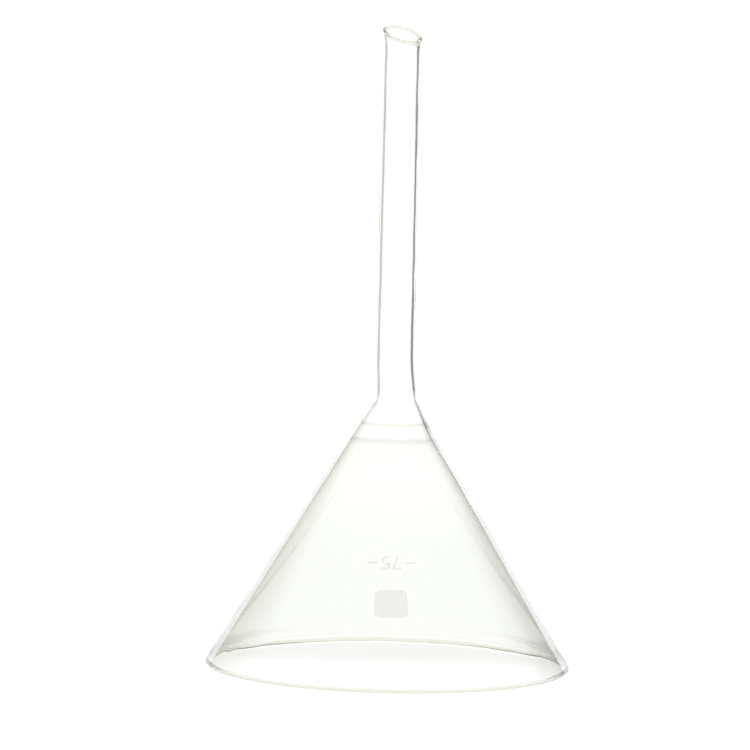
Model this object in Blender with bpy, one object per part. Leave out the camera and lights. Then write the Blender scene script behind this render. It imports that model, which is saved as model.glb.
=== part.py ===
"""Short-stem glass laboratory funnel, 75 mm across the mouth.

The funnel stands mouth down on its rim. The origin is the centre of the rim's plane and +Z runs up the stem.
The glass is two formed pieces flame-sealed at the neck: the cone with its rolled rim, and the drawn stem with
its slanted, fire-polished tip. Each printed enamel mark is its own thin piece on the -Y side of the cone.
"""

import bpy
import bmesh
from math import cos, pi, radians, sin, tan

# Driving dimensions, in metres.
MOUTH_RADIUS = 0.0375
CONE_HALF_ANGLE = radians(31.6)
CONE_WALL = 0.0008  # measured square to the cone
RIM_BEAD_RADIUS = 0.0009  # the rolled rim, flush with the cone outside and proud of it inside
RIM_LAND_HALF_WIDTH = 0.0004  # the flat ring that the funnel stands on

NECK_RADIUS = 0.00406
NECK_FILLET_RADIUS = 0.004
NECK_BORE_RADIUS = 0.0031
THROAT_WALL = 0.0011  # the cone's wall where it thickens towards the seal
THROAT_LENGTH = 0.006

SEAL_HEIGHT = 0.0578
SEAL_GAP = 0.0003

TIP_HEIGHT = 0.1302  # where the slanted end crosses the axis
TIP_RADIUS = 0.00375
TIP_BORE_RADIUS = 0.0029
LIP_RADIUS = 0.0005  # section of the fire-polished lip
LIP_PROUD = 0.0004
TIP_SLOPE_X = -0.225  # rise of the slanted end along +X and along +Y
TIP_SLOPE_Y = 0.415
TIP_BLEND_START = 0.005  # below the tip, where the rings begin to tilt
TIP_BLEND_END = 0.0015

ENAMEL_GAP = 0.0003
ENAMEL_THICKNESS = 0.00015
ENAMEL_TURN = radians(1.0)  # the print sits a little to +X of the -Y side
STROKE_WIDTH = 0.00042
DIGIT_HEIGHT = 0.0025
DIGIT_WIDTH = 0.0015
DIGIT_SPACING = 0.0022
DIGIT_ROW_HEIGHT = 0.0241
RULE_LENGTH = 0.0021
RULE_OFFSET = 0.0038
SPOT_WIDTH = 0.0066
SPOT_HEIGHT = 0.0060
SPOT_CORNER = 0.0012
SPOT_ROW_HEIGHT = 0.0165

BOWL_STEPS = 64
STEM_STEPS = 48
ARC_STEPS = 5
PATCH_STEP = 0.0008  # longest side of an enamel facet across the curve

# Sizes that follow from them.
SLOPE = tan(CONE_HALF_ANGLE)
BEAD_CENTRE = (MOUTH_RADIUS - RIM_BEAD_RADIUS, RIM_BEAD_RADIUS)
CONE_FOOT_RADIUS = BEAD_CENTRE[0] + RIM_BEAD_RADIUS / cos(CONE_HALF_ANGLE)  # at the bead's centre height
CORNER_HEIGHT = BEAD_CENTRE[1] + (CONE_FOOT_RADIUS - NECK_RADIUS) / SLOPE
FILLET_TANGENT = NECK_FILLET_RADIUS * tan(CONE_HALF_ANGLE / 2)


def clear_scene():
    for obj in list(bpy.data.objects):
        bpy.data.objects.remove(obj, do_unlink=True)


def principled(name, colour, roughness, transmission=0.0, ior=1.45):
    material = bpy.data.materials.new(name)
    material.use_nodes = True
    shader = material.node_tree.nodes["Principled BSDF"]
    shader.inputs["Base Color"].default_value = (*colour, 1.0)
    shader.inputs["Roughness"].default_value = roughness
    shader.inputs["Metallic"].default_value = 0.0
    shader.inputs["Transmission Weight"].default_value = transmission
    shader.inputs["IOR"].default_value = ior
    return material


def cone_radius(height):
    """Radius of the cone's outer surface at this height."""
    return NECK_RADIUS + (CORNER_HEIGHT - height) * SLOPE


def inner_radius(height, wall):
    return cone_radius(height) - wall / cos(CONE_HALF_ANGLE)


def inner_height(radius, wall):
    """Height at which the inner surface has this radius."""
    return CORNER_HEIGHT - (radius + wall / cos(CONE_HALF_ANGLE) - NECK_RADIUS) / SLOPE


def arc(centre, radius, start, end, steps=ARC_STEPS):
    """Points on an arc in the profile plane, from one angle to another, both ends included."""
    turns = [start + (end - start) * i / steps for i in range(steps + 1)]
    return [(centre[0] + radius * cos(t), centre[1] + radius * sin(t)) for t in turns]


def add_object(name, bm, material, sharp_angle=radians(40)):
    bmesh.ops.recalc_face_normals(bm, faces=bm.faces)
    mesh = bpy.data.meshes.new(name)
    bm.to_mesh(mesh)
    bm.free()
    mesh.shade_smooth()
    mesh.set_sharp_from_angle(angle=sharp_angle)
    mesh.materials.append(material)
    obj = bpy.data.objects.new(name, mesh)
    bpy.context.scene.collection.objects.link(obj)
    return obj


def turned(profile, steps):
    """A closed profile of (radius, height) points spun once round the Z axis."""
    bm = bmesh.new()
    points = [bm.verts.new((radius, 0.0, height)) for radius, height in profile]
    edges = [bm.edges.new(pair) for pair in zip(points, points[1:] + points[:1])]
    bmesh.ops.spin(
        bm,
        geom=points + edges,
        cent=(0.0, 0.0, 0.0),
        axis=(0.0, 0.0, 1.0),
        angle=2 * pi,
        steps=steps,
        use_merge=True,
    )
    return bm


def bowl(material):
    """The cone: rolled rim with a flat land, straight wall, thickened throat and a filleted neck."""
    land = [
        (BEAD_CENTRE[0] - RIM_LAND_HALF_WIDTH, 0.0),
        (BEAD_CENTRE[0] + RIM_LAND_HALF_WIDTH, 0.0),
    ]
    bead_outside = arc(BEAD_CENTRE, RIM_BEAD_RADIUS, radians(-60), CONE_HALF_ANGLE)
    fillet_centre = (NECK_RADIUS + NECK_FILLET_RADIUS, CORNER_HEIGHT + FILLET_TANGENT)
    fillet = arc(fillet_centre, NECK_FILLET_RADIUS, pi + CONE_HALF_ANGLE, pi)
    top = SEAL_HEIGHT - SEAL_GAP / 2
    collar = [(NECK_RADIUS, top), (NECK_BORE_RADIUS, top)]
    throat_top = inner_height(NECK_BORE_RADIUS, THROAT_WALL)
    throat_foot = throat_top - THROAT_LENGTH
    throat = [
        (NECK_BORE_RADIUS, throat_top),
        (inner_radius(throat_foot, CONE_WALL), throat_foot),
    ]
    inner_foot = 2.5 * RIM_BEAD_RADIUS
    wall_inside = [(inner_radius(inner_foot, CONE_WALL), inner_foot)]
    bead_inside = arc(BEAD_CENTRE, RIM_BEAD_RADIUS, radians(160), radians(235), 4)
    profile = land + bead_outside + fillet + collar + throat + wall_inside + bead_inside
    return add_object("bowl", turned(profile, BOWL_STEPS), material)


def tilt_tip(bm):
    """Slants the end of the stem: rings near the tip turn into the plane of the cut."""
    start = TIP_HEIGHT - TIP_BLEND_START
    for vert in bm.verts:
        share = (vert.co.z - start) / (TIP_BLEND_START - TIP_BLEND_END)
        share = min(max(share, 0.0), 1.0)
        vert.co.z += share * (TIP_SLOPE_X * vert.co.x + TIP_SLOPE_Y * vert.co.y)


def stem(material):
    """The drawn tube, a little narrower at the tip, with a rounded lip round its slanted end."""
    foot = SEAL_HEIGHT + SEAL_GAP / 2
    lip_centre = (TIP_RADIUS + LIP_PROUD - LIP_RADIUS, TIP_HEIGHT - LIP_RADIUS)
    blend_foot = TIP_HEIGHT - TIP_BLEND_START
    blend_top = TIP_HEIGHT - TIP_BLEND_END
    outside = [(NECK_RADIUS, foot), (TIP_RADIUS, blend_foot), (TIP_RADIUS, blend_top)]
    lip = arc(lip_centre, LIP_RADIUS, radians(-55), radians(185), 8)
    inside = [
        (TIP_BORE_RADIUS, blend_top),
        (TIP_BORE_RADIUS, blend_foot),
        (NECK_BORE_RADIUS, foot),
    ]
    bm = turned(outside + lip + inside, STEM_STEPS)
    tilt_tip(bm)
    return add_object("stem", bm, material)


def on_cone(across, up, standoff, row_height):
    """Point at a print position: across and up as read with the stem pointing down, standoff from the glass."""
    height = row_height - up * cos(CONE_HALF_ANGLE) + standoff * sin(CONE_HALF_ANGLE)
    slant_radius = cone_radius(row_height - up * cos(CONE_HALF_ANGLE))
    turn = -pi / 2 + ENAMEL_TURN - across / cone_radius(row_height)
    radius = slant_radius + standoff * cos(CONE_HALF_ANGLE)
    return (radius * cos(turn), radius * sin(turn), height)


def enamel_piece(name, outline, row_height, material):
    """One thin layer that follows the cone, from a flat closed outline of (across, up) points."""
    bm = bmesh.new()
    face = bm.faces.new([bm.verts.new((across, up, 0.0)) for across, up in outline])
    side = bmesh.ops.extrude_face_region(bm, geom=[face])
    for item in side["geom"]:
        if isinstance(item, bmesh.types.BMVert):
            item.co.z = ENAMEL_THICKNESS
    bmesh.ops.triangulate(bm, faces=bm.faces)
    for _ in range(3):
        long_edges = [e for e in bm.edges if abs(e.verts[0].co.x - e.verts[1].co.x) > PATCH_STEP]
        if long_edges:
            bmesh.ops.subdivide_edges(bm, edges=long_edges, cuts=1)
            bmesh.ops.triangulate(bm, faces=bm.faces)
    for vert in bm.verts:
        vert.co = on_cone(vert.co.x, vert.co.y, ENAMEL_GAP + vert.co.z, row_height)
    return add_object(name, bm, material)


def stroke(path, width):
    """Closed outline of a stroke of even width along an open path of (across, up) points."""
    left = []
    right = []
    for i, (x, y) in enumerate(path):
        before = path[max(i - 1, 0)]
        after = path[min(i + 1, len(path) - 1)]
        into = unit(x - before[0], y - before[1]) if i else unit(after[0] - x, after[1] - y)
        out = unit(after[0] - x, after[1] - y) if i < len(path) - 1 else into
        normal = unit(-into[1] - out[1], into[0] + out[0])
        mitre = width / 2 / max(normal[0] * -into[1] + normal[1] * into[0], 0.5)
        left.append((x + normal[0] * mitre, y + normal[1] * mitre))
        right.append((x - normal[0] * mitre, y - normal[1] * mitre))
    return left + right[::-1]


def unit(x, y):
    length = (x * x + y * y) ** 0.5
    return (x / length, y / length)


def shifted(points, across):
    return [(x + across, y) for x, y in points]


def digit_seven():
    half = DIGIT_WIDTH / 2
    top = DIGIT_HEIGHT / 2
    return [(-half, top), (half, top), (-half / 3, -top)]


def digit_five():
    half = DIGIT_WIDTH / 2
    top = DIGIT_HEIGHT / 2
    bowl_radius = DIGIT_HEIGHT * 0.31
    bowl_centre = (-half * 0.1, -top + bowl_radius)
    hook = arc(bowl_centre, bowl_radius, radians(140), radians(-140), 10)
    return [(half, top), (-half * 0.75, top), (-half * 0.9, top * 0.15)] + hook[1:]


def spot_outline():
    """Rounded rectangle of the plain marking spot."""
    corners = []
    for quarter in range(4):
        start = quarter * pi / 2
        side_x = 1 if quarter in (0, 3) else -1
        side_y = 1 if quarter in (0, 1) else -1
        centre = (side_x * (SPOT_WIDTH / 2 - SPOT_CORNER), side_y * (SPOT_HEIGHT / 2 - SPOT_CORNER))
        corners += arc(centre, SPOT_CORNER, start, start + pi / 2, 4)
    return corners


def enamel_marks(material):
    """The size numerals between two short rules, and the blank spot for a pencil note."""
    left = -DIGIT_SPACING / 2
    right = DIGIT_SPACING / 2
    seven = shifted(stroke(digit_seven(), STROKE_WIDTH), left)
    five = shifted(stroke(digit_five(), STROKE_WIDTH), right)
    enamel_piece("enamel_digit_7", seven, DIGIT_ROW_HEIGHT, material)
    enamel_piece("enamel_digit_5", five, DIGIT_ROW_HEIGHT, material)
    rule = stroke([(-RULE_LENGTH / 2, 0.0), (RULE_LENGTH / 2, 0.0)], STROKE_WIDTH)
    enamel_piece("enamel_rule_left", shifted(rule, -RULE_OFFSET), DIGIT_ROW_HEIGHT, material)
    enamel_piece("enamel_rule_right", shifted(rule, RULE_OFFSET), DIGIT_ROW_HEIGHT, material)
    enamel_piece("enamel_marking_spot", spot_outline(), SPOT_ROW_HEIGHT, material)


clear_scene()
glass = principled("clear_glass", (0.96, 0.985, 0.95), 0.02, transmission=1.0, ior=1.47)
enamel = principled("fired_enamel", (0.83, 0.84, 0.82), 0.55)
bowl(glass)
stem(glass)
enamel_marks(enamel)
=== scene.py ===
"""Looks for the glass funnel: one fine glass surface, its printed enamel, a bright studio, the camera."""

from math import cos, exp, pi, radians, sin, sqrt, tan

import bmesh
import bpy
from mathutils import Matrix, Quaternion, Vector, noise


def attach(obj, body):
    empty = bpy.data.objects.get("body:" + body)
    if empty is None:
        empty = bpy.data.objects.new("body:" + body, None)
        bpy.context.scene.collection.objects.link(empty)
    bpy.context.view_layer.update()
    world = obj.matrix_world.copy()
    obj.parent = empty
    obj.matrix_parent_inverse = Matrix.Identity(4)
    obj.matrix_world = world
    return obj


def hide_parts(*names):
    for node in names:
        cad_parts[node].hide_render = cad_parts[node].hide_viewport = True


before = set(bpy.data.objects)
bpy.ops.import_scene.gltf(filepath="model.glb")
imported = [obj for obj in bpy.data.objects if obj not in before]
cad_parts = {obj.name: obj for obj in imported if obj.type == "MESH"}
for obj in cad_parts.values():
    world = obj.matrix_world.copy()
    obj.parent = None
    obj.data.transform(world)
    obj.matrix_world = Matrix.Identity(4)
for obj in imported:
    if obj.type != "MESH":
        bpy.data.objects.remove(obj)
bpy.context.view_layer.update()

# The funnel's sizes, in metres. The outer ones are the CAD's, but for a slighter rim bead and lip.
MOUTH_RADIUS = 0.0375
CONE_HALF_ANGLE = radians(31.6)
RIM_BEAD_RADIUS = 0.0006
NECK_RADIUS = 0.00406
TIP_HEIGHT = 0.1302
TIP_RADIUS = 0.00375
LIP_RADIUS = 0.00038
LIP_PROUD = 0.0003
LIP_FROM = radians(-55)
LIP_TO = radians(185)
TIP_SLOPE_X = -0.225  # rise of the slanted end along +X and along +Y
TIP_SLOPE_Y = 0.415
TIP_BLEND_START = 0.005  # below the tip, where the rings begin to tilt
TIP_BLEND_END = 0.0015  # and where they are fully tilted

# Glass thickness, square to the surface.
CONE_WALL = 0.0005
THROAT_WALL = 0.0006
THROAT_FROM = 0.030  # the cone's wall changes to the throat's from here
THROAT_BY = 0.048
STEM_WALL_FOOT = 0.00080
STEM_WALL_TIP = 0.00062
OUTER_NECK_EASE = 0.0003  # how softly the cone runs into the stem
INNER_NECK_EASE = 0.0012

# The rim's thicker glass, which swells inwards.
RIM_SWELL = 0.0001
RIM_SWELL_HEIGHT = 0.0009
RIM_SWELL_REACH = 0.0022
RIM_SWELL_BACK = 0.0007  # added towards +Y

# Marks that forming leaves on the inner surface.
RIPPLE_HEIGHT = 0.0055
RIPPLE_REACH = 0.0028
RIPPLE_DEPTH = 0.00002
RIPPLES_AROUND = 14
RIPPLES_UP = 420
RING_HEIGHTS = (0.0474, 0.0505)
RING_DEPTH = 0.00001
RING_REACH = 0.0004
RING_WANDER = 0.0005  # how far a ring rises and falls round the glass
RING_WANDERS_AROUND = 1.3
WAVE_DEPTH = 0.000008
WAVES_AROUND = 6
WAVES_UP = 220
SWELL_DEPTH = 0.00022  # extra glass at the throat, towards +X
SWELL_HEIGHT = 0.0475
SWELL_REACH = 0.0030

# How finely the profile is cut, in metres, and the arcs and the turn, in steps.
OUTER_STEP = 0.0009
BORE_STEP = 0.0012
RING_STEP = 0.00015
CONE_STEP = 0.0007
RIM_STEP = 0.0002
RING_MARGIN = 0.003  # above and below the forming rings, still cut finely
RIM_ZONE = 0.012  # below this height the inner wall is cut finely for the rim
BEAD_MARGIN = 0.0004
ARC_STEPS = 20
UNDER_TURN = 82  # degrees of the arc that closes the inner swell under the rim
UNDER_STEPS = 12
TURN_STEPS = 256

SLOPE = tan(CONE_HALF_ANGLE)
BEAD_CENTRE = (MOUTH_RADIUS - RIM_BEAD_RADIUS, RIM_BEAD_RADIUS)
CONE_FOOT_RADIUS = BEAD_CENTRE[0] + RIM_BEAD_RADIUS / cos(CONE_HALF_ANGLE)
CORNER_HEIGHT = BEAD_CENTRE[1] + (CONE_FOOT_RADIUS - NECK_RADIUS) / SLOPE

# The formed neck sits a little to one side, and the stem runs on from it almost true.
NECK_SHIFT = 0.0006
NECK_SHIFT_HEIGHT = 0.0555
NECK_SHIFT_REACH = 0.0045
STEM_SHIFT = 0.00012
NECK_PINCH = 0.00015
NECK_PINCH_HEIGHT = 0.0567
NECK_PINCH_REACH = 0.0016

# Studio brightness by degrees from the middle of the backdrop: the lit backdrop, a dark gap, the walls.
STUDIO = [(0, 1.0), (27, 1.0), (31, 0.0), (54, 0.0), (64, 0.56), (180, 0.56)]
GAP_LEFT = 0.46  # least brightness anywhere, on the two sides
GAP_RIGHT = 0.20
GAP_COLOUR = (1.0, 1.015, 0.89)
GAP_BLEND = 0.4  # how far to each side the gap's level changes from left to right
OVERHEAD_FROM = 0.25  # upward part of the direction at which the overhead light starts, and is full
OVERHEAD_FULL = 0.55
OVERHEAD = 0.9
BACKDROP_STRENGTH = 1.22
FLOOR_RADIUS = 6.0
FLOOR_SEGMENTS = 96
FLOOR_DROP = 0.0002
FLOOR_NEAR = 0.934  # the floor by the funnel, as a share of the backdrop
FLOOR_FADE_START = 0.15  # from here outwards the floor takes on the walls' brightness
FLOOR_FADE_END = 0.6
FLOOR_SHADE = [(0.0, 1.0), (0.010, 0.90), (0.020, 0.87), (0.036, 0.88)]  # faint shade of the glass, by y
FLOOR_SHADE_END = 0.04
FLOOR_SHADE_SOFTENS = 0.9  # share of the mouth's radius beyond which the shade fades

GLASS_IOR = 1.47

# What one wall lets through, by how far the surface turns away (0 is face on): a little is the real longer
# path through the slanted wall, most is painted shade that darkens the glass's edges.
PAINTED_EDGE_SHADE = [
    (0.25, (1.0, 1.0, 1.0)),
    (0.42, (0.985, 0.985, 0.985)),
    (0.67, (0.908, 0.908, 0.900)),
    (0.78, (0.89, 0.89, 0.88)),
    (0.81, (0.62, 0.62, 0.61)),
    (1.0, (0.60, 0.60, 0.58)),
]

# The same by height in millimetres: olive rim, green-grey cone, clear stem, and a yellowish lip that is a
# painted highlight standing in for the lip's coloured glints.
TINT_AND_LIP_HIGHLIGHT_BY_HEIGHT = [
    (0.0, (0.86, 0.87, 0.72)),
    (0.35, (0.88, 0.89, 0.78)),
    (0.75, (0.965, 0.972, 0.955)),
    (2.4, (0.923, 0.932, 0.906)),
    (41.0, (0.923, 0.932, 0.906)),
    (46.8, (0.90, 0.91, 0.885)),
    (47.4, (0.935, 0.945, 0.92)),
    (50.2, (0.95, 0.96, 0.935)),
    (50.7, (0.99, 0.992, 0.985)),
    (129.75, (0.985, 0.987, 0.98)),
    # painted highlight: the lip's yellow stands in for its coloured glints
    (129.9, (0.96, 0.965, 0.76)),
    (130.2, (0.96, 0.965, 0.76)),
]

# Painted shade at the forming rings of the neck, by height in millimetres: dark bands that stand in for the
# rings' refraction lines, painted on the -Y side only.
PAINTED_RING_SHADE = [
    (46.6, (1.0, 1.0, 1.0)),
    (47.0, (0.84, 0.845, 0.83)),
    (47.4, (0.84, 0.845, 0.83)),
    (47.6, (1.0, 1.0, 1.0)),
    (50.0, (1.0, 1.0, 1.0)),
    (50.25, (0.79, 0.80, 0.77)),
    (50.6, (0.79, 0.80, 0.77)),
    (50.75, (1.0, 1.0, 1.0)),
]
RING_SHADE_FULL = -0.005  # y at which the painted ring shade is full, and gone
RING_SHADE_GONE = 0.007
TINT_WANDER = 0.0003  # how far the tint's edges rise and fall round the glass
TINT_CLOUDS = 70.0
GROUND_RIM = 0.0003  # below this the glass is ground and only lightly polished, and less clear
CLEAR_RIM = 0.0010  # above this it is fully clear
GROUND_LIP = 0.0006  # the same for the lip, measured down from the slanted tip
CLEAR_LIP = 0.0009
POLISHED_FROM = 0.004  # from here towards +Y the ground rim grows clearer
POLISHED_BY = 0.060
RIM_ROUGHNESS = 0.22
RIM_TRANSMISSION = 0.65

# Printed marks: thin films of fired enamel on the -Y side of the cone.
FILM_GAP = 0.00001
FILM_THICKNESS = 0.00003
FILM_STEP = 0.0003
FILM_TURN = radians(1.0)
FILM_ALPHA = 0.22
FILM_EDGE = radians(40)
MOTTLE_SCALE = 2500.0
MOTTLE = [(0.35, (0.66, 0.67, 0.64)), (0.65, (0.86, 0.87, 0.84))]
ENAMEL_SMOOTHEST = 0.4
ENAMEL_ROUGHEST = 0.65
GRAIN_STRENGTH = 0.4
GRAIN_DEPTH = 0.00001
STROKE_WIDTH = 0.00042
DIGIT_HEIGHT = 0.0025
DIGIT_WIDTH = 0.0015
DIGIT_SPACING = 0.0022
DIGIT_ROW_HEIGHT = 0.0241
RULE_LENGTH = 0.0021
RULE_OFFSET = 0.0038
SPOT_WIDTH = 0.0066
SPOT_HEIGHT = 0.0060
SPOT_CORNER = 0.0012
SPOT_ROW_HEIGHT = 0.0165
CORNER_STEPS = 10
MITRE_LIMIT = 0.5

# The numerals' shapes, as shares of half their width and height, but for the five's bowl.
SEVEN_FOOT = 1 / 3
FIVE_STEM_TOP = 0.75
FIVE_STEM_FOOT = (0.9, 0.15)
FIVE_BOWL_SHIFT = 0.1
FIVE_BOWL_RADIUS = 0.31  # of the whole height
FIVE_BOWL_TURN = radians(140)

CAMERA_DISTANCE = 0.7
CAMERA_HEIGHT = 0.1026
CAMERA_AIM = (-0.0039, 0.0, 0.0601)
CAMERA_LENS = 163.9
CAMERA_CLIP = 0.01
CAMERA_ROLL = radians(1.34)


def arc(centre, radius, start, end, steps):
    turns = [start + (end - start) * i / steps for i in range(steps + 1)]
    return [(centre[0] + radius * cos(t), centre[1] + radius * sin(t)) for t in turns]


def spaced(start, end, step):
    """Heights from start to end, without the last, about a step apart."""
    count = max(int(abs(end - start) / step), 1)
    return [start + (end - start) * i / count for i in range(count)]


def smooth_step(value, low, high):
    share = min(max((value - low) / (high - low), 0.0), 1.0)
    return share * share * (3 - 2 * share)


def bump(value, centre, reach):
    return exp(-((value - centre) / reach) ** 2)


def eased_max(first, second, ease):
    """The larger of two lengths, with a rounded change from one to the other."""
    return (first + second + sqrt((first - second) ** 2 + ease**2)) / 2


def cone_radius(height):
    return NECK_RADIUS + (CORNER_HEIGHT - height) * SLOPE


def up_stem(height):
    """Share of the way from the neck's corner to the tip."""
    return max(height - CORNER_HEIGHT, 0.0) / (TIP_HEIGHT - CORNER_HEIGHT)


def stem_radius(height):
    return NECK_RADIUS + (TIP_RADIUS - NECK_RADIUS) * up_stem(height)


def outer_radius(height):
    pinch = NECK_PINCH * bump(height, NECK_PINCH_HEIGHT, NECK_PINCH_REACH)
    return eased_max(cone_radius(height), stem_radius(height), OUTER_NECK_EASE) - pinch


def inner_radius(height):
    wall = CONE_WALL + (THROAT_WALL - CONE_WALL) * smooth_step(height, THROAT_FROM, THROAT_BY)
    rim = RIM_SWELL * bump(height, RIM_SWELL_HEIGHT, RIM_SWELL_REACH)
    cone = cone_radius(height) - wall / cos(CONE_HALF_ANGLE) - rim
    stem_wall = STEM_WALL_FOOT + (STEM_WALL_TIP - STEM_WALL_FOOT) * up_stem(height)
    return eased_max(cone, stem_radius(height) - stem_wall, INNER_NECK_EASE)


def outer_profile():
    """From the land under the rim up to the lip."""
    bead = arc(BEAD_CENTRE, RIM_BEAD_RADIUS, radians(-90), CONE_HALF_ANGLE, ARC_STEPS)
    foot = bead[-1][1] + BEAD_MARGIN
    top = TIP_HEIGHT - TIP_BLEND_END
    wall = [(outer_radius(z), z) for z in spaced(foot, top, OUTER_STEP)]
    lip_centre = (TIP_RADIUS + LIP_PROUD - LIP_RADIUS, TIP_HEIGHT - LIP_RADIUS)
    lip = arc(lip_centre, LIP_RADIUS, LIP_FROM, LIP_TO, ARC_STEPS)
    return bead + wall + lip


def inner_profile():
    """From the tip down to the rim."""
    # Heights down the wall, each with the step to the next.
    cuts = [
        (TIP_HEIGHT - TIP_BLEND_END, BORE_STEP),
        (RING_HEIGHTS[1] + RING_MARGIN, RING_STEP),
        (RING_HEIGHTS[0] - RING_MARGIN, CONE_STEP),
        (RIM_ZONE, RIM_STEP),
        (RIM_SWELL_HEIGHT, None),
    ]
    wall = []
    for (start, step), (end, _) in zip(cuts, cuts[1:]):
        wall += [(inner_radius(z), z) for z in spaced(start, end, step)]
    reach = BEAD_CENTRE[0] - inner_radius(RIM_SWELL_HEIGHT)
    turns = [radians(180 + UNDER_TURN * i / UNDER_STEPS) for i in range(UNDER_STEPS + 1)]
    under = [(BEAD_CENTRE[0] + reach * cos(t), RIM_SWELL_HEIGHT * (1 + sin(t))) for t in turns]
    return wall + under


def inner_unevenness(height, turn):
    """How far the inner surface stands in from its turned shape: forming rings, ripples and slow waves."""
    around = Vector((cos(turn), sin(turn), 0.0))
    depth = WAVE_DEPTH * noise.noise(around * WAVES_AROUND + Vector((0, 0, height * WAVES_UP)))
    wander = RING_WANDER * noise.noise(around * RING_WANDERS_AROUND + Vector((5, 0, 0)))
    for ring in RING_HEIGHTS:
        depth += RING_DEPTH * bump(height + wander, ring, RING_REACH)
    depth += RIM_SWELL_BACK * bump(height, RIM_SWELL_HEIGHT, RIM_SWELL_REACH) * max(sin(turn), 0.0)
    depth += SWELL_DEPTH * bump(height, SWELL_HEIGHT, SWELL_REACH) * max(cos(turn), 0.0) ** 2
    ripple = noise.noise(around * RIPPLES_AROUND + Vector((0, 0, height * RIPPLES_UP))) * cos(turn) ** 4
    return depth + RIPPLE_DEPTH * ripple * bump(height, RIPPLE_HEIGHT, RIPPLE_REACH)


def centre_shift(height):
    """How far the formed glass sits towards +X of the rim's axis."""
    neck = NECK_SHIFT * bump(height, NECK_SHIFT_HEIGHT, NECK_SHIFT_REACH)
    return neck + STEM_SHIFT * smooth_step(height, NECK_SHIFT_HEIGHT, NECK_SHIFT_HEIGHT + NECK_SHIFT_REACH)


def formed(radius, height, turn):
    """Where a point of the turned profile lies on the finished, hand-formed glass."""
    x = radius * cos(turn)
    y = radius * sin(turn)
    start = TIP_HEIGHT - TIP_BLEND_START
    share = min(max((height - start) / (TIP_BLEND_START - TIP_BLEND_END), 0.0), 1.0)
    z = height + share * (TIP_SLOPE_X * x + TIP_SLOPE_Y * y)
    return (x + centre_shift(height), y, z)


def glass_mesh():
    outer = outer_profile()
    inner = inner_profile()
    turns = [2 * pi * i / TURN_STEPS for i in range(TURN_STEPS)]
    bm = bmesh.new()
    rings = []
    for radius, height in outer:
        rings.append([bm.verts.new(formed(radius, height, turn)) for turn in turns])
    for radius, height in inner:
        ring = []
        for turn in turns:
            depth = inner_unevenness(height, turn)
            ring.append(bm.verts.new(formed(radius - depth, height, turn)))
        rings.append(ring)
    for ring, following in zip(rings, rings[1:] + rings[:1]):
        for i in range(TURN_STEPS):
            j = (i + 1) % TURN_STEPS
            bm.faces.new((ring[i], ring[j], following[j], following[i]))
    bmesh.ops.recalc_face_normals(bm, faces=bm.faces)
    mesh = bpy.data.meshes.new("funnel_glass")
    bm.to_mesh(mesh)
    bm.free()
    mesh.shade_smooth()
    return mesh


def add_object(name, mesh, material):
    mesh.materials.append(material)
    obj = bpy.data.objects.new(name, mesh)
    bpy.context.scene.collection.objects.link(obj)
    return obj


def feed(tree, value, socket):
    """Links a node's output to a socket, or sets a plain value on it."""
    if isinstance(value, bpy.types.NodeSocket):
        tree.links.new(value, socket)
    else:
        socket.default_value = value


def calculated(tree, operation, *values):
    """Output of a Math node."""
    maths = tree.nodes.new("ShaderNodeMath")
    maths.operation = operation
    for value, socket in zip(values, maths.inputs):
        feed(tree, value, socket)
    return maths.outputs[0]


def rescaled(tree, value, start, end, to_start=0.0, to_end=1.0, ease="LINEAR"):
    """Output that goes from to_start to to_end, and no further, as the value goes from start to end."""
    change = tree.nodes.new("ShaderNodeMapRange")
    change.interpolation_type = ease
    change.inputs["From Min"].default_value = start
    change.inputs["From Max"].default_value = end
    change.inputs["To Min"].default_value = to_start
    change.inputs["To Max"].default_value = to_end
    tree.links.new(value, change.inputs["Value"])
    return change.outputs["Result"]


def mixed(tree, blend, factor, first, second):
    """Output of a colour mix."""
    mix = tree.nodes.new("ShaderNodeMix")
    mix.data_type = "RGBA"
    mix.blend_type = blend
    feed(tree, factor, mix.inputs["Factor"])
    feed(tree, first, mix.inputs["A"])
    feed(tree, second, mix.inputs["B"])
    return mix.outputs["Result"]


def ramped(tree, value, stops):
    """Output of a colour ramp with a stop at each (position, colour)."""
    ramp = tree.nodes.new("ShaderNodeValToRGB")
    elements = ramp.color_ramp.elements
    while len(elements) < len(stops):
        elements.new(0.5)
    for element, (position, colour) in zip(elements, stops):
        element.position = position
        element.color = (*colour, 1.0)
    tree.links.new(value, ramp.inputs["Fac"])
    return ramp.outputs["Color"]


def by_height(tree, share, stops):
    """Colour by share of the funnel's height, from stops at (millimetres, colour)."""
    return ramped(tree, share, [(millimetres * 0.001 / TIP_HEIGHT, colour) for millimetres, colour in stops])


def clouds(tree, position, scale, detail):
    """Output of a noise texture."""
    texture = tree.nodes.new("ShaderNodeTexNoise")
    texture.inputs["Scale"].default_value = scale
    texture.inputs["Detail"].default_value = detail
    tree.links.new(position, texture.inputs["Vector"])
    return texture.outputs["Fac"]


def separated(tree, vector):
    """The three outputs of a vector's parts."""
    split = tree.nodes.new("ShaderNodeSeparateXYZ")
    tree.links.new(vector, split.inputs[0])
    return split.outputs


def principled(name):
    """New material, with its node tree and its shader."""
    material = bpy.data.materials.new(name)
    material.use_nodes = True
    return material, material.node_tree, material.node_tree.nodes["Principled BSDF"]


def unslanted_height(tree, position, z):
    """A point's height, but near the tip its height before the tip was slanted."""
    slant = tree.nodes.new("ShaderNodeVectorMath")
    slant.operation = "DOT_PRODUCT"
    slant.inputs[1].default_value = (-TIP_SLOPE_X, -TIP_SLOPE_Y, 0.0)
    tree.links.new(position, slant.inputs[0])
    near_tip = rescaled(tree, z, TIP_HEIGHT - 2 * TIP_BLEND_START, TIP_HEIGHT - TIP_BLEND_START)
    return calculated(tree, "MULTIPLY_ADD", slant.outputs["Value"], near_tip, z)


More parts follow.
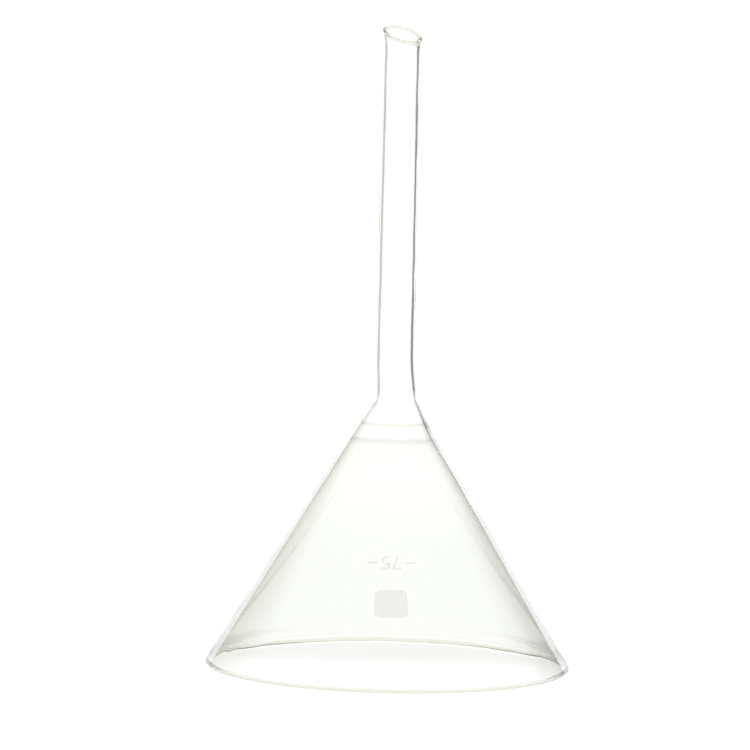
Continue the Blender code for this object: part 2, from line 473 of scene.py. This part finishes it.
def tint_and_painted_light_by_height(tree, position, level, y):
    """Tint by height, whose edges rise and fall a little, with painted shade for the forming rings on the -Y
    side and a painted highlight colour at the lip.
    """
    fog = clouds(tree, position, scale=TINT_CLOUDS, detail=1.0)
    wander = rescaled(tree, fog, 0.0, 1.0, -TINT_WANDER, TINT_WANDER)
    share = rescaled(tree, calculated(tree, "ADD", level, wander), 0.0, TIP_HEIGHT)
    ring_shade_mask = rescaled(tree, y, RING_SHADE_GONE, RING_SHADE_FULL, ease="SMOOTHSTEP")
    tint_and_painted_light = by_height(tree, share, TINT_AND_LIP_HIGHLIGHT_BY_HEIGHT)
    # painted shade: dark bands at the forming rings, on the -Y side
    rings = by_height(tree, share, PAINTED_RING_SHADE)
    return mixed(tree, "MULTIPLY", ring_shade_mask, tint_and_painted_light, rings)


def clearness(tree, level, y, z):
    """0 on the ground rim and lip, 1 on clear glass."""
    above_rim = rescaled(tree, z, GROUND_RIM, CLEAR_RIM)
    polished = rescaled(tree, y, POLISHED_FROM, POLISHED_BY)
    below_lip = rescaled(tree, level, TIP_HEIGHT - GROUND_LIP, TIP_HEIGHT - CLEAR_LIP)
    return calculated(tree, "MINIMUM", calculated(tree, "MAXIMUM", above_rim, polished), below_lip)


def glass_material():
    material, tree, shader = principled("clear_glass")
    shader.inputs["IOR"].default_value = GLASS_IOR
    position = tree.nodes.new("ShaderNodeTexCoord").outputs["Object"]
    _, y, z = separated(tree, position)
    level = unslanted_height(tree, position, z)
    clear = clearness(tree, level, y, z)
    weight = tree.nodes.new("ShaderNodeLayerWeight")
    weight.inputs["Blend"].default_value = 0.5
    # painted shade: the glass darkens towards its edges as the surface turns away
    turned = ramped(tree, weight.outputs["Facing"], PAINTED_EDGE_SHADE)
    tint_and_painted_light = mixed(tree, "MULTIPLY", clear, tint_and_painted_light_by_height(tree, position, level, y), turned)
    roughness = rescaled(tree, clear, 0.0, 1.0, RIM_ROUGHNESS, 0.0)
    transmission = rescaled(tree, clear, 0.0, 1.0, RIM_TRANSMISSION, 1.0)
    tree.links.new(tint_and_painted_light, shader.inputs["Base Color"])
    tree.links.new(roughness, shader.inputs["Roughness"])
    tree.links.new(transmission, shader.inputs["Transmission Weight"])
    return material


def enamel_material():
    """Pale enamel, worn thin enough to see through, with a fine mottle and a satin face."""
    material, tree, shader = principled("fired_enamel")
    shader.inputs["Alpha"].default_value = FILM_ALPHA
    position = tree.nodes.new("ShaderNodeTexCoord").outputs["Object"]
    mottle = clouds(tree, position, scale=MOTTLE_SCALE, detail=4.0)
    grain = tree.nodes.new("ShaderNodeBump")
    grain.inputs["Strength"].default_value = GRAIN_STRENGTH
    grain.inputs["Distance"].default_value = GRAIN_DEPTH
    tree.links.new(mottle, grain.inputs["Height"])
    roughness = rescaled(tree, mottle, 0.0, 1.0, ENAMEL_SMOOTHEST, ENAMEL_ROUGHEST)
    tree.links.new(ramped(tree, mottle, MOTTLE), shader.inputs["Base Color"])
    tree.links.new(roughness, shader.inputs["Roughness"])
    tree.links.new(grain.outputs["Normal"], shader.inputs["Normal"])
    return material


def unit(x, y):
    length = sqrt(x * x + y * y)
    return (x / length, y / length)


def stroke(path, width):
    """Closed outline of a stroke of even width along an open path of (across, up) points."""
    left = []
    right = []
    for i, (x, y) in enumerate(path):
        before = path[max(i - 1, 0)]
        after = path[min(i + 1, len(path) - 1)]
        into = unit(x - before[0], y - before[1]) if i else unit(after[0] - x, after[1] - y)
        out = unit(after[0] - x, after[1] - y) if i < len(path) - 1 else into
        normal = unit(-into[1] - out[1], into[0] + out[0])
        mitre = width / 2 / max(normal[0] * -into[1] + normal[1] * into[0], MITRE_LIMIT)
        left.append((x + normal[0] * mitre, y + normal[1] * mitre))
        right.append((x - normal[0] * mitre, y - normal[1] * mitre))
    return left + right[::-1]


def digit_seven():
    half = DIGIT_WIDTH / 2
    top = DIGIT_HEIGHT / 2
    return [(-half, top), (half, top), (-half * SEVEN_FOOT, -top)]


def digit_five():
    half = DIGIT_WIDTH / 2
    top = DIGIT_HEIGHT / 2
    bowl_radius = DIGIT_HEIGHT * FIVE_BOWL_RADIUS
    bowl_centre = (-half * FIVE_BOWL_SHIFT, -top + bowl_radius)
    bowl = arc(bowl_centre, bowl_radius, FIVE_BOWL_TURN, -FIVE_BOWL_TURN, ARC_STEPS)
    foot = (-half * FIVE_STEM_FOOT[0], top * FIVE_STEM_FOOT[1])
    return [(half, top), (-half * FIVE_STEM_TOP, top), foot] + bowl[1:]


def spot_outline():
    """Rounded rectangle of the plain marking spot."""
    corners = []
    for quarter in range(4):
        side_x = 1 if quarter in (0, 3) else -1
        side_y = 1 if quarter in (0, 1) else -1
        centre = (side_x * (SPOT_WIDTH / 2 - SPOT_CORNER), side_y * (SPOT_HEIGHT / 2 - SPOT_CORNER))
        corners += arc(centre, SPOT_CORNER, quarter * pi / 2, (quarter + 1) * pi / 2, CORNER_STEPS)
    return corners


def on_cone(across, up, standoff, row_height):
    """Point at a print position, across and up as read with the stem down, standing off from the glass."""
    height = row_height - up * cos(CONE_HALF_ANGLE)
    turn = -pi / 2 + FILM_TURN - across / cone_radius(row_height)
    radius = cone_radius(height) + standoff * cos(CONE_HALF_ANGLE)
    return (radius * cos(turn), radius * sin(turn), height + standoff * sin(CONE_HALF_ANGLE))


def enamel_film(name, outline, row_height, material):
    """Replaces a CAD mark with a thin closed film, cut finely so that it follows the cone."""
    bm = bmesh.new()
    bm.faces.new([bm.verts.new((across, up, 0.0)) for across, up in outline])
    low = min(across for across, _ in outline)
    high = max(across for across, _ in outline)
    for across in spaced(low, high, FILM_STEP)[1:]:
        geometry = bm.verts[:] + bm.edges[:] + bm.faces[:]
        bmesh.ops.bisect_plane(bm, geom=geometry, plane_co=(across, 0.0, 0.0), plane_no=(1.0, 0.0, 0.0))
    side = bmesh.ops.extrude_face_region(bm, geom=bm.faces[:])
    for item in side["geom"]:
        if isinstance(item, bmesh.types.BMVert):
            item.co.z = FILM_THICKNESS
    for vert in bm.verts:
        vert.co = on_cone(vert.co.x, vert.co.y, FILM_GAP + vert.co.z, row_height)
    bmesh.ops.recalc_face_normals(bm, faces=bm.faces)
    mesh = bpy.data.meshes.new(name)
    bm.to_mesh(mesh)
    bm.free()
    mesh.shade_smooth()
    mesh.set_sharp_from_angle(angle=FILM_EDGE)
    film = add_object(f"{name}_film", mesh, material)
    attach(film, "root")
    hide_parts(name)


def enamel_films():
    material = enamel_material()
    seven = [(x - DIGIT_SPACING / 2, y) for x, y in stroke(digit_seven(), STROKE_WIDTH)]
    five = [(x + DIGIT_SPACING / 2, y) for x, y in stroke(digit_five(), STROKE_WIDTH)]
    enamel_film("enamel_digit_7", seven, DIGIT_ROW_HEIGHT, material)
    enamel_film("enamel_digit_5", five, DIGIT_ROW_HEIGHT, material)
    for name, centre in (("enamel_rule_left", -RULE_OFFSET), ("enamel_rule_right", RULE_OFFSET)):
        rule = stroke([(centre - RULE_LENGTH / 2, 0.0), (centre + RULE_LENGTH / 2, 0.0)], STROKE_WIDTH)
        enamel_film(name, rule, DIGIT_ROW_HEIGHT, material)
    enamel_film("enamel_marking_spot", spot_outline(), SPOT_ROW_HEIGHT, material)


def studio_group():
    """Node group: brightness of the studio in the direction of a vector."""
    tree = bpy.data.node_groups.new("studio_walls", "ShaderNodeTree")
    tree.interface.new_socket("Direction", in_out="INPUT", socket_type="NodeSocketVector")
    tree.interface.new_socket("Brightness", in_out="OUTPUT", socket_type="NodeSocketColor")
    entry = tree.nodes.new("NodeGroupInput")
    leave = tree.nodes.new("NodeGroupOutput")
    direction = tree.nodes.new("ShaderNodeVectorMath")
    direction.operation = "NORMALIZE"
    tree.links.new(entry.outputs["Direction"], direction.inputs[0])
    x, y, z = separated(tree, direction.outputs["Vector"])
    share = rescaled(tree, calculated(tree, "ARCCOSINE", y), 0.0, pi)
    around = ramped(tree, share, [(degrees / 180, (level,) * 3) for degrees, level in STUDIO])
    left, right = ([level * part for part in GAP_COLOUR] for level in (GAP_LEFT, GAP_RIGHT))
    gap = ramped(tree, rescaled(tree, x, -GAP_BLEND, GAP_BLEND), [(0.0, left), (1.0, right)])
    overhead = rescaled(tree, z, OVERHEAD_FROM, OVERHEAD_FULL, 0.0, OVERHEAD)
    walls = mixed(tree, "LIGHTEN", 1.0, around, gap)
    tree.links.new(mixed(tree, "LIGHTEN", 1.0, walls, overhead), leave.inputs["Brightness"])
    return tree


def in_studio(tree, group, direction):
    """Brightness output of the studio group."""
    walls = tree.nodes.new("ShaderNodeGroup")
    walls.node_tree = group
    tree.links.new(direction, walls.inputs["Direction"])
    return walls.outputs["Brightness"]


def floor_material(group):
    """Bright by the funnel, like the walls far off, with a faint shade inside the mouth."""
    material = bpy.data.materials.new("pale_floor")
    material.use_nodes = True
    tree = material.node_tree
    tree.nodes.clear()
    position = tree.nodes.new("ShaderNodeTexCoord").outputs["Object"]
    length = tree.nodes.new("ShaderNodeVectorMath")
    length.operation = "LENGTH"
    tree.links.new(position, length.inputs[0])
    distance = length.outputs["Value"]
    _, y, _ = separated(tree, position)
    far = rescaled(tree, distance, FLOOR_FADE_START, FLOOR_FADE_END, ease="SMOOTHSTEP")
    near = (FLOOR_NEAR, FLOOR_NEAR, FLOOR_NEAR, 1.0)
    floor_light = mixed(tree, "MIX", far, near, in_studio(tree, group, position))
    inside = rescaled(tree, distance, MOUTH_RADIUS, MOUTH_RADIUS * FLOOR_SHADE_SOFTENS)
    back = rescaled(tree, y, 0.0, FLOOR_SHADE_END)
    shade = ramped(tree, back, [(reach / FLOOR_SHADE_END, (level,) * 3) for reach, level in FLOOR_SHADE])
    emit = tree.nodes.new("ShaderNodeEmission")
    emit.inputs["Strength"].default_value = BACKDROP_STRENGTH
    out = tree.nodes.new("ShaderNodeOutputMaterial")
    tree.links.new(mixed(tree, "MULTIPLY", inside, floor_light, shade), emit.inputs["Color"])
    tree.links.new(emit.outputs[0], out.inputs["Surface"])
    return material


def floor(group):
    mesh = bpy.data.meshes.new("floor")
    bm = bmesh.new()
    bmesh.ops.create_circle(bm, cap_ends=True, radius=FLOOR_RADIUS, segments=FLOOR_SEGMENTS)
    bm.to_mesh(mesh)
    bm.free()
    obj = add_object("floor", mesh, floor_material(group))
    obj.location.z = -FLOOR_DROP


def studio(group):
    world = bpy.data.worlds.new("studio")
    bpy.context.scene.world = world
    world.use_nodes = True
    tree = world.node_tree
    tree.nodes.clear()
    direction = tree.nodes.new("ShaderNodeTexCoord").outputs["Generated"]
    back = tree.nodes.new("ShaderNodeBackground")
    back.inputs["Strength"].default_value = BACKDROP_STRENGTH
    out = tree.nodes.new("ShaderNodeOutputWorld")
    tree.links.new(in_studio(tree, group, direction), back.inputs["Color"])
    tree.links.new(back.outputs[0], out.inputs["Surface"])
    bpy.context.scene.view_settings.view_transform = "Standard"


def camera():
    data = bpy.data.cameras.new("camera")
    data.lens = CAMERA_LENS
    data.clip_start = CAMERA_CLIP
    obj = bpy.data.objects.new("camera", data)
    bpy.context.scene.collection.objects.link(obj)
    obj.location = (0.0, -CAMERA_DISTANCE, CAMERA_HEIGHT)
    aim = Vector(CAMERA_AIM) - obj.location
    obj.rotation_mode = "QUATERNION"
    obj.rotation_quaternion = aim.to_track_quat("-Z", "Y") @ Quaternion((0, 0, 1), CAMERA_ROLL)
    bpy.context.scene.camera = obj


glass = add_object("funnel_glass", glass_mesh(), glass_material())
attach(glass, "root")
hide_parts("bowl", "stem")
enamel_films()
walls = studio_group()
floor(walls)
studio(walls)
camera()
